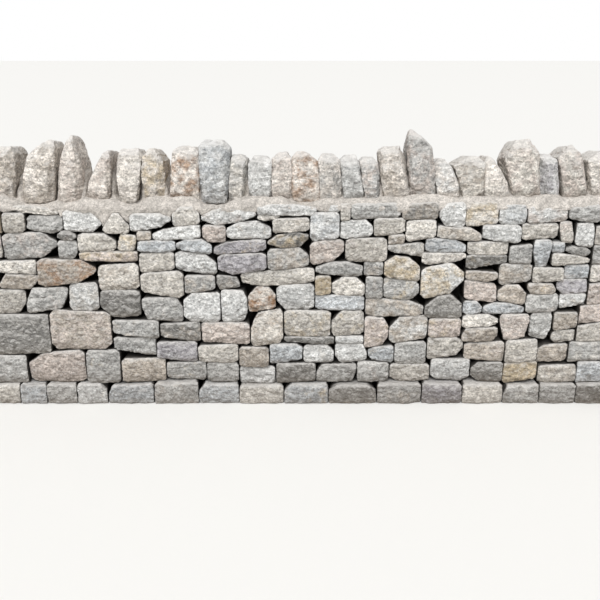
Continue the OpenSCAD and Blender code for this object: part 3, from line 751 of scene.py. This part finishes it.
def hearting_material():
    """Small waste stones, packed by hand inside the wall: dull and dark, with nearly black gaps of painted
    shade.
    """
    _, colours, _ = settings()
    material, tree, shader = new_material("packed_hearting_stone")
    place = add_node(tree, "ShaderNodeTexCoord").outputs["Object"]
    cells = add_node(tree, "ShaderNodeTexVoronoi", {"Vector": place, "Scale": 1 / (60 * MM)})
    # Painted shade: nearly black gaps between the packed stones
    base = cover(tree, (*colours.shade, 1), colours.gaps, cells.outputs["Distance"], 0.3, 0.7, 0.9)
    tree.links.new(base, shader.inputs["Base Color"])
    shader.inputs["Roughness"].default_value = 0.95
    return material


def floor_material():
    """Studio floor, evenly painted: pale and matt, so that only the wall's shadow shows on it."""
    _, colours, _ = settings()
    material, _, shader = new_material("plain_studio_floor")
    shader.inputs["Base Color"].default_value = (*colours.floor, 1)
    shader.inputs["Roughness"].default_value = 0.9
    return material


class WALL_OT_hearting(bpy.types.Operator):
    """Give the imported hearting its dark, stony finish"""

    bl_idname = "wall.hearting"
    bl_label = "Hearting"

    def execute(self, context):
        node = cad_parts["hearting"]
        node.data.materials.clear()
        node.data.materials.append(material_of("packed_hearting_stone", hearting_material))
        return {"FINISHED"}


class WALL_OT_footings(bpy.types.Operator):
    """Dress the footing stones of both faces"""

    bl_idname = "wall.footings"
    bl_label = "Footings"

    def execute(self, context):
        for side in ("front", "back"):
            dress_stones(f"{side}_footings", planes=3, depth=8 * MM, bare=1)
        return {"FINISHED"}


class WALL_OT_faces(bpy.types.Operator):
    """Dress the face stones of every lift"""

    bl_idname = "wall.faces"
    bl_label = "Face stones"

    def execute(self, context):
        for side in ("front", "back"):
            for lift in range(1, 5):
                dress_stones(f"{side}_lift_{lift}", planes=3, depth=8 * MM)
            dress_stones(f"{side}_levelling_course", planes=3, depth=8 * MM, bare=1)
        return {"FINISHED"}


class WALL_OT_heads(bpy.types.Operator):
    """Dress the squared stones of the wall's ends"""

    bl_idname = "wall.heads"
    bl_label = "Wall heads"

    def execute(self, context):
        for side in ("left", "right"):
            dress_stones(f"{side}_head", planes=2, depth=6 * MM)
        return {"FINISHED"}


class WALL_OT_mortar(bpy.types.Operator):
    """Press the mortar bed over the stonework"""

    bl_idname = "wall.mortar"
    bl_label = "Mortar bed"

    def execute(self, context):
        shape, _, _ = settings()
        bed = merged_copy("mortar", "mortar_bed")
        end, edge, top = (max(v.co[k] for v in bed.data.vertices) for k in range(3))
        pieces = [bed]
        for place, size in mortar_lumps(top, edge, end):
            bpy.ops.mesh.primitive_uv_sphere_add(
                segments=24, ring_count=12, radius=1, location=place, scale=size
            )
            pieces.append(context.object)
        deselect()
        for piece in pieces:
            piece.select_set(True)
        context.view_layer.objects.active = bed
        bpy.ops.object.join()
        add_modifier(bed, "REMESH", mode="VOXEL", voxel_size=shape.mortar_step, adaptivity=0)
        add_modifier(bed, "SMOOTH", factor=0.5, iterations=4)
        displace(bed, -DEEPEST_FOOT * MM, 0, group=mark_dips(bed, top), direction="Z")
        displace(bed, shape.growth * 2, 0)
        for name, size, depth in MORTAR_RELIEF:
            displace(bed, depth, 0.6, relief(name, size, "SOFT_NOISE"))
        add_modifier(bed, "DECIMATE", ratio=0.5)
        material = material_of("sandy_lime_mortar", mortar_material)
        join("mortar_bed_dressed", [bed], "mortar_bed", material)
        return {"FINISHED"}


class WALL_OT_cope(bpy.types.Operator):
    """Dress the upright cope stones"""

    bl_idname = "wall.cope"
    bl_label = "Cope stones"

    def execute(self, context):
        for number, look in enumerate(COPE_LOOKS, 1):
            node = f"cope_stone_{number}"
            stone = merged_copy(node + "_dressed", node)
            draw = draw_of(stone)
            settle_cope(stone)
            for side in (FRONT, BACK):
                break_face(stone, draw, 4, 20 * MM, side, steepest=0.4)
            break_edges(stone, draw, 20 * MM)
            pit(stone, roughen_all(stone, (FRONT, BACK, LEFT, RIGHT, UP)))
            paint(stone, draw, look, [0] * len(stone.data.vertices))
            material = material_of("weathered_rubble_stone", rubble_material)
            join(node + "_dressed", [stone], node, material)
        return {"FINISHED"}


class WALL_OT_stage(bpy.types.Operator):
    """Set the floor, the lights and the camera"""

    bl_idname = "wall.stage"
    bl_label = "Stage"

    def execute(self, context):
        _, _, stage = settings()
        deselect()
        bpy.ops.mesh.primitive_plane_add(size=stage.floor_size)
        floor = context.object
        floor.name = "floor"
        floor.data.materials.append(material_of("plain_studio_floor", floor_material))

        bpy.ops.object.camera_add(
            location=(0, -stage.distance, stage.eye_height), rotation=(math.pi / 2 - stage.pitch, 0, 0)
        )
        camera = context.object
        camera.data.lens = stage.lens
        context.scene.camera = camera

        bpy.ops.object.light_add(type="SUN", rotation=(stage.key_fall, stage.key_side, 0))
        lamp = context.object
        lamp.data.energy = stage.key
        lamp.data.angle = stage.key_spread

        # A soft sky lights the wall, and the camera sees plain white behind it
        world = bpy.data.worlds.new("soft_sky")
        context.scene.world = world
        world.use_nodes = True
        tree = world.node_tree
        light = tree.nodes["Background"]
        light.inputs["Color"].default_value = (1, 1, 1, 1)
        light.inputs["Strength"].default_value = stage.sky
        rays = add_node(tree, "ShaderNodeLightPath").outputs
        white = add_node(tree, "ShaderNodeBackground", {"Color": (1, 1, 1, 1), "Strength": 1.0})
        inputs = {0: rays["Is Camera Ray"], 1: light.outputs[0], 2: white.outputs[0]}
        shown = add_node(tree, "ShaderNodeMixShader", inputs).outputs[0]
        tree.links.new(shown, tree.nodes["World Output"].inputs["Surface"])
        context.scene.view_settings.view_transform = "Standard"
        return {"FINISHED"}


class WALL_PT_panel(bpy.types.Panel):
    """The wall's settings and steps"""

    bl_idname = "WALL_PT_panel"
    bl_label = "Dry stone wall"
    bl_space_type = "VIEW_3D"
    bl_region_type = "UI"
    bl_category = "Wall"

    def draw(self, context):
        for group in (context.scene.wall_shape, context.scene.wall_colours, context.scene.wall_stage):
            box = self.layout.box()
            for name in group.__annotations__:
                box.prop(group, name)
        for step in STEPS:
            self.layout.operator(step.bl_idname)


STEPS = (
    WALL_OT_hearting,
    WALL_OT_footings,
    WALL_OT_faces,
    WALL_OT_heads,
    WALL_OT_mortar,
    WALL_OT_cope,
    WALL_OT_stage,
)
GROUPS = (("wall_shape", WallShape), ("wall_colours", WallColours), ("wall_stage", WallStage))


def register():
    for name, group in GROUPS:
        bpy.utils.register_class(group)
        setattr(bpy.types.Scene, name, PointerProperty(type=group))
    for item in (*STEPS, WALL_PT_panel):
        bpy.utils.register_class(item)


def unregister():
    for item in (WALL_PT_panel, *reversed(STEPS)):
        bpy.utils.unregister_class(item)
    for name, group in reversed(GROUPS):
        delattr(bpy.types.Scene, name)
        bpy.utils.unregister_class(group)


def main():
    register()
    bpy.ops.wall.hearting()
    bpy.ops.wall.footings()
    bpy.ops.wall.faces()
    bpy.ops.wall.heads()
    bpy.ops.wall.mortar()
    bpy.ops.wall.cope()
    bpy.ops.wall.stage()


if __name__ == "__main__":
    main()
